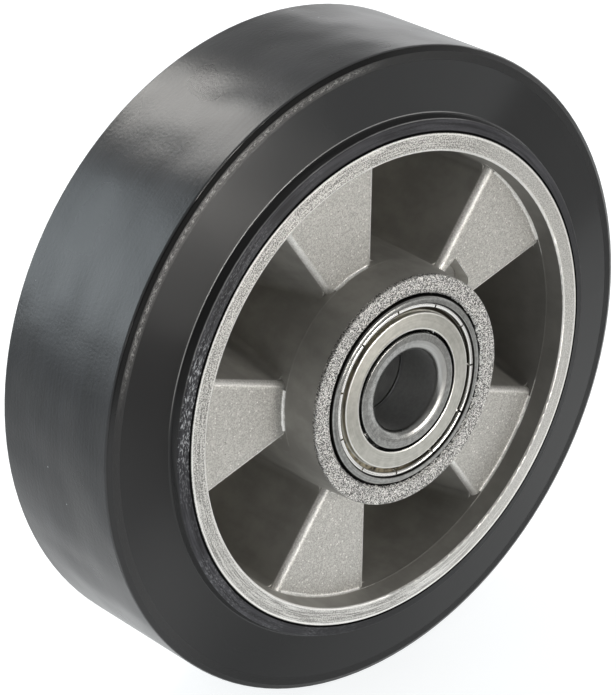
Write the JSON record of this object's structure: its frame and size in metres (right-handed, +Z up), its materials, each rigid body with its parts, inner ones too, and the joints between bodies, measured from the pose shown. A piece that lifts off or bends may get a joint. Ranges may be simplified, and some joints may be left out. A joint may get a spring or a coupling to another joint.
{
  "type": "solid rubber wheel",
  "caption": "Solid rubber tyre bonded to a die-cast aluminium centre with pocketed spokes, running freely on shielded ball bearings over a plain axle.",
  "frame": {"origin": "centre of the wheel, on the axle line halfway between the two bearings", "axes": "+Y along the axle line towards the rear, the front face looks along -Y, +Z up"},
  "size_m": [0.16, 0.06, 0.16],
  "materials": {
    "tyre_rubber": "black elastic rubber, satin on the tread and matt on the sides",
    "cast_aluminium": "die cast, grainy on the front faces and smooth in the pockets",
    "bearing_steel": "ground",
    "shield_steel": "pressed sheet",
    "cage_steel": "pressed sheet",
    "ball_steel": "polished",
    "spacer_steel": "dark turned tube"
  },
  "bodies": {
    "axle_sleeve": {"front_bearing_inner_ring": "bearing_steel", "rear_bearing_inner_ring": "bearing_steel", "spacer_tube": "spacer_steel"},
    "wheel": {"tyre": "tyre_rubber", "wheel_centre": "cast_aluminium", "front_bearing_outer_ring": "bearing_steel", "front_bearing_front_shield": "shield_steel", "front_bearing_rear_shield": "shield_steel", "rear_bearing_outer_ring": "bearing_steel", "rear_bearing_front_shield": "shield_steel", "rear_bearing_rear_shield": "shield_steel"},
    "front_cage": {"front_bearing_front_cage_half": "cage_steel", "front_bearing_rear_cage_half": "cage_steel", "front_bearing_cage_rivets": "cage_steel"},
    "rear_cage": {"rear_bearing_front_cage_half": "cage_steel", "rear_bearing_rear_cage_half": "cage_steel", "rear_bearing_cage_rivets": "cage_steel"},
    "front_ball_1": {"front_bearing_ball_1": "ball_steel"},
    "front_ball_2": {"front_bearing_ball_2": "ball_steel"},
    "front_ball_3": {"front_bearing_ball_3": "ball_steel"},
    "front_ball_4": {"front_bearing_ball_4": "ball_steel"},
    "front_ball_5": {"front_bearing_ball_5": "ball_steel"},
    "front_ball_6": {"front_bearing_ball_6": "ball_steel"},
    "front_ball_7": {"front_bearing_ball_7": "ball_steel"},
    "front_ball_8": {"front_bearing_ball_8": "ball_steel"},
    "rear_ball_1": {"rear_bearing_ball_1": "ball_steel"},
    "rear_ball_2": {"rear_bearing_ball_2": "ball_steel"},
    "rear_ball_3": {"rear_bearing_ball_3": "ball_steel"},
    "rear_ball_4": {"rear_bearing_ball_4": "ball_steel"},
    "rear_ball_5": {"rear_bearing_ball_5": "ball_steel"},
    "rear_ball_6": {"rear_bearing_ball_6": "ball_steel"},
    "rear_ball_7": {"rear_bearing_ball_7": "ball_steel"},
    "rear_ball_8": {"rear_bearing_ball_8": "ball_steel"}
  },
  "joints": [
    {"name": "wheel_spin", "type": "hinge", "parent": "axle_sleeve", "child": "wheel", "pos_m": [0, 0, 0], "axis": [0, 1, 0], "continuous": true},
    {"name": "front_cage_spin", "type": "hinge", "parent": "axle_sleeve", "child": "front_cage", "pos_m": [0, -0.023, 0], "axis": [0, 1, 0], "continuous": true},
    {"name": "front_ball_1_spin", "type": "hinge", "parent": "front_cage", "child": "front_ball_1", "pos_m": [0.01675, -0.023, 0], "axis": [0, 1, 0], "continuous": true},
    {"name": "front_ball_2_spin", "type": "hinge", "parent": "front_cage", "child": "front_ball_2", "pos_m": [0.01184, -0.023, 0.01184], "axis": [0, 1, 0], "continuous": true},
    {"name": "front_ball_3_spin", "type": "hinge", "parent": "front_cage", "child": "front_ball_3", "pos_m": [0, -0.023, 0.01675], "axis": [0, 1, 0], "continuous": true},
    {"name": "front_ball_4_spin", "type": "hinge", "parent": "front_cage", "child": "front_ball_4", "pos_m": [-0.01184, -0.023, 0.01184], "axis": [0, 1, 0], "continuous": true},
    {"name": "front_ball_5_spin", "type": "hinge", "parent": "front_cage", "child": "front_ball_5", "pos_m": [-0.01675, -0.023, 0], "axis": [0, 1, 0], "continuous": true},
    {"name": "front_ball_6_spin", "type": "hinge", "parent": "front_cage", "child": "front_ball_6", "pos_m": [-0.01184, -0.023, -0.01184], "axis": [0, 1, 0], "continuous": true},
    {"name": "front_ball_7_spin", "type": "hinge", "parent": "front_cage", "child": "front_ball_7", "pos_m": [0, -0.023, -0.01675], "axis": [0, 1, 0], "continuous": true},
    {"name": "front_ball_8_spin", "type": "hinge", "parent": "front_cage", "child": "front_ball_8", "pos_m": [0.01184, -0.023, -0.01184], "axis": [0, 1, 0], "continuous": true},
    {"name": "rear_cage_spin", "type": "hinge", "parent": "axle_sleeve", "child": "rear_cage", "pos_m": [0, 0.023, 0], "axis": [0, 1, 0], "continuous": true},
    {"name": "rear_ball_1_spin", "type": "hinge", "parent": "rear_cage", "child": "rear_ball_1", "pos_m": [0.01675, 0.023, 0], "axis": [0, 1, 0], "continuous": true},
    {"name": "rear_ball_2_spin", "type": "hinge", "parent": "rear_cage", "child": "rear_ball_2", "pos_m": [0.01184, 0.023, 0.01184], "axis": [0, 1, 0], "continuous": true},
    {"name": "rear_ball_3_spin", "type": "hinge", "parent": "rear_cage", "child": "rear_ball_3", "pos_m": [0, 0.023, 0.01675], "axis": [0, 1, 0], "continuous": true},
    {"name": "rear_ball_4_spin", "type": "hinge", "parent": "rear_cage", "child": "rear_ball_4", "pos_m": [-0.01184, 0.023, 0.01184], "axis": [0, 1, 0], "continuous": true},
    {"name": "rear_ball_5_spin", "type": "hinge", "parent": "rear_cage", "child": "rear_ball_5", "pos_m": [-0.01675, 0.023, 0], "axis": [0, 1, 0], "continuous": true},
    {"name": "rear_ball_6_spin", "type": "hinge", "parent": "rear_cage", "child": "rear_ball_6", "pos_m": [-0.01184, 0.023, -0.01184], "axis": [0, 1, 0], "continuous": true},
    {"name": "rear_ball_7_spin", "type": "hinge", "parent": "rear_cage", "child": "rear_ball_7", "pos_m": [0, 0.023, -0.01675], "axis": [0, 1, 0], "continuous": true},
    {"name": "rear_ball_8_spin", "type": "hinge", "parent": "rear_cage", "child": "rear_ball_8", "pos_m": [0.01184, 0.023, -0.01184], "axis": [0, 1, 0], "continuous": true}
  ],
  "couplings": [
    {"joint": "front_cage_spin", "follows": "wheel_spin", "ratio": 0.61848},
    {"joint": "front_ball_1_spin", "follows": "wheel_spin", "ratio": 1.9916},
    {"joint": "front_ball_2_spin", "follows": "wheel_spin", "ratio": 1.9916},
    {"joint": "front_ball_3_spin", "follows": "wheel_spin", "ratio": 1.9916},
    {"joint": "front_ball_4_spin", "follows": "wheel_spin", "ratio": 1.9916},
    {"joint": "front_ball_5_spin", "follows": "wheel_spin", "ratio": 1.9916},
    {"joint": "front_ball_6_spin", "follows": "wheel_spin", "ratio": 1.9916},
    {"joint": "front_ball_7_spin", "follows": "wheel_spin", "ratio": 1.9916},
    {"joint": "front_ball_8_spin", "follows": "wheel_spin", "ratio": 1.9916},
    {"joint": "rear_cage_spin", "follows": "wheel_spin", "ratio": 0.61848},
    {"joint": "rear_ball_1_spin", "follows": "wheel_spin", "ratio": 1.9916},
    {"joint": "rear_ball_2_spin", "follows": "wheel_spin", "ratio": 1.9916},
    {"joint": "rear_ball_3_spin", "follows": "wheel_spin", "ratio": 1.9916},
    {"joint": "rear_ball_4_spin", "follows": "wheel_spin", "ratio": 1.9916},
    {"joint": "rear_ball_5_spin", "follows": "wheel_spin", "ratio": 1.9916},
    {"joint": "rear_ball_6_spin", "follows": "wheel_spin", "ratio": 1.9916},
    {"joint": "rear_ball_7_spin", "follows": "wheel_spin", "ratio": 1.9916},
    {"joint": "rear_ball_8_spin", "follows": "wheel_spin", "ratio": 1.9916}
  ]
}
